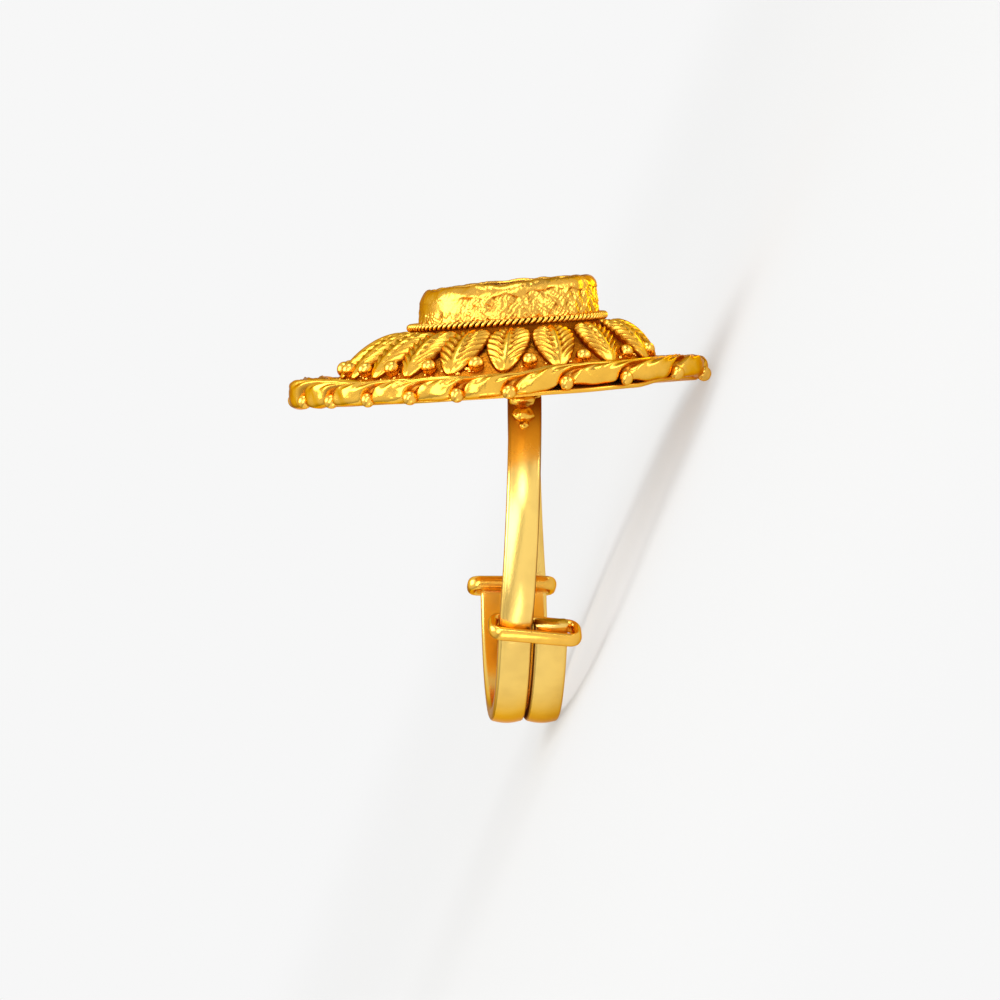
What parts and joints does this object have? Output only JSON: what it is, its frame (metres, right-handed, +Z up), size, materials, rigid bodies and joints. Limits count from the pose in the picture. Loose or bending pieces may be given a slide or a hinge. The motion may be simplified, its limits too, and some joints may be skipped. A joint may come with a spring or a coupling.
{
  "type": "finger ring",
  "caption": "Gold cocktail ring lying on its side: round rosette head with rope border, leaf gallery, granules and a bezel-set stone, on an adjustable band of flat strips in sliding loops.",
  "frame": {"origin": "on the surface the ring lies on, below the middle of its bounding box", "axes": "+X from the bottom of the band towards the head, +Y across the finger hole, away from the picture's camera, +Z up from the surface"},
  "size_m": [0.024, 0.023, 0.0203],
  "materials": {
    "gold": "polished yellow gold",
    "stone": "polished cut stone"
  },
  "bodies": {
    "root": {"setting": "gold", "stone": "stone", "shank_near": "gold", "shank_far": "gold"}
  },
  "joints": []
}
